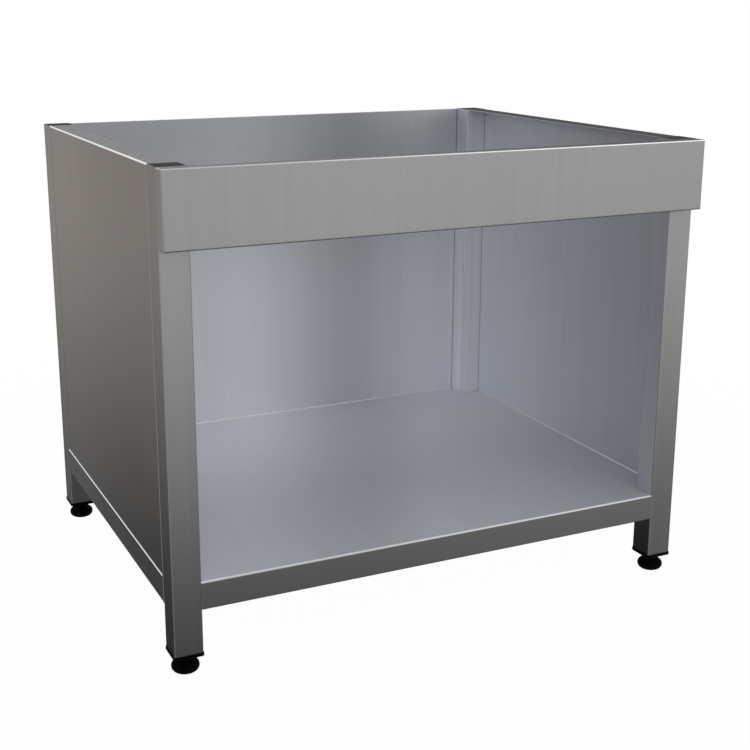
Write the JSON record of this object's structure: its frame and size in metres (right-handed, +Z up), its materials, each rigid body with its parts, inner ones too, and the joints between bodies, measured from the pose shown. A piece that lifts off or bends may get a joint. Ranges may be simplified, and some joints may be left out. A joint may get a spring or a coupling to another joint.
{
  "type": "stove stand",
  "caption": "Open steel stand that carries a table-top stove, with square legs on levelling feet, a bottom shelf, side and back panels and a front fascia.",
  "frame": {"origin": "on the floor under the middle of the stand's box, feet at rest", "axes": "+X to the right, seen from the front; -Y towards the fascia; +Z up"},
  "size_m": [0.802, 0.651, 0.67],
  "materials": {
    "leg_steel": "satin ground stainless steel tube",
    "panel_steel": "satin ground stainless steel sheet",
    "fascia_steel": "satin ground stainless steel sheet",
    "shelf_steel": "satin ground stainless steel sheet",
    "plug_plastic": "fine-grained dark grey moulded plastic",
    "foot_plastic": "black moulded plastic",
    "zinc_steel": "bright zinc-plated steel"
  },
  "bodies": {
    "frame": {"shelf": "shelf_steel", "shelf_stiffener": "shelf_steel", "side_panel_left": "panel_steel", "side_panel_right": "panel_steel", "back_panel": "panel_steel", "fascia": "fascia_steel", "leg_front_left": "leg_steel", "leg_front_right": "leg_steel", "leg_rear_left": "leg_steel", "leg_rear_right": "leg_steel", "top_plug_front_left": "plug_plastic", "top_plug_front_right": "plug_plastic", "top_plug_rear_left": "plug_plastic", "top_plug_rear_right": "plug_plastic", "foot_insert_front_left": "foot_plastic", "foot_insert_front_right": "foot_plastic", "foot_insert_rear_left": "foot_plastic", "foot_insert_rear_right": "foot_plastic", "insert_nut_front_left": "zinc_steel", "insert_nut_front_right": "zinc_steel", "insert_nut_rear_left": "zinc_steel", "insert_nut_rear_right": "zinc_steel"},
    "foot_front_left": {"foot_base_front_left": "foot_plastic"},
    "stud_front_left": {"foot_stud_front_left": "zinc_steel", "foot_hexagon_front_left": "foot_plastic"},
    "foot_front_right": {"foot_base_front_right": "foot_plastic"},
    "stud_front_right": {"foot_stud_front_right": "zinc_steel", "foot_hexagon_front_right": "foot_plastic"},
    "foot_rear_left": {"foot_base_rear_left": "foot_plastic"},
    "stud_rear_left": {"foot_stud_rear_left": "zinc_steel", "foot_hexagon_rear_left": "foot_plastic"},
    "foot_rear_right": {"foot_base_rear_right": "foot_plastic"},
    "stud_rear_right": {"foot_stud_rear_right": "zinc_steel", "foot_hexagon_rear_right": "foot_plastic"}
  },
  "joints": [
    {"name": "foot_front_left_travel", "type": "slide", "parent": "frame", "child": "foot_front_left", "axis": [0, 0, -1], "range_m": [-0.0015, 0.024]},
    {"name": "stud_front_left_turn", "type": "hinge", "parent": "foot_front_left", "child": "stud_front_left", "pos_m": [-0.38, -0.2855, 0.0165], "axis": [0, 0, -1], "range_deg": [-361, 5761]},
    {"name": "foot_front_right_travel", "type": "slide", "parent": "frame", "child": "foot_front_right", "axis": [0, 0, -1], "range_m": [-0.0015, 0.024]},
    {"name": "stud_front_right_turn", "type": "hinge", "parent": "foot_front_right", "child": "stud_front_right", "pos_m": [0.38, -0.2855, 0.0165], "axis": [0, 0, -1], "range_deg": [-361, 5761]},
    {"name": "foot_rear_left_travel", "type": "slide", "parent": "frame", "child": "foot_rear_left", "axis": [0, 0, -1], "range_m": [-0.0015, 0.024]},
    {"name": "stud_rear_left_turn", "type": "hinge", "parent": "foot_rear_left", "child": "stud_rear_left", "pos_m": [-0.38, 0.3045, 0.0165], "axis": [0, 0, -1], "range_deg": [-361, 5761]},
    {"name": "foot_rear_right_travel", "type": "slide", "parent": "frame", "child": "foot_rear_right", "axis": [0, 0, -1], "range_m": [-0.0015, 0.024]},
    {"name": "stud_rear_right_turn", "type": "hinge", "parent": "foot_rear_right", "child": "stud_rear_right", "pos_m": [0.38, 0.3045, 0.0165], "axis": [0, 0, -1], "range_deg": [-361, 5761]}
  ],
  "couplings": [
    {"joint": "stud_front_left_turn", "follows": "foot_front_left_travel", "rad_per_m": 4188.8},
    {"joint": "stud_front_right_turn", "follows": "foot_front_right_travel", "rad_per_m": 4188.8},
    {"joint": "stud_rear_left_turn", "follows": "foot_rear_left_travel", "rad_per_m": 4188.8},
    {"joint": "stud_rear_right_turn", "follows": "foot_rear_right_travel", "rad_per_m": 4188.8}
  ]
}
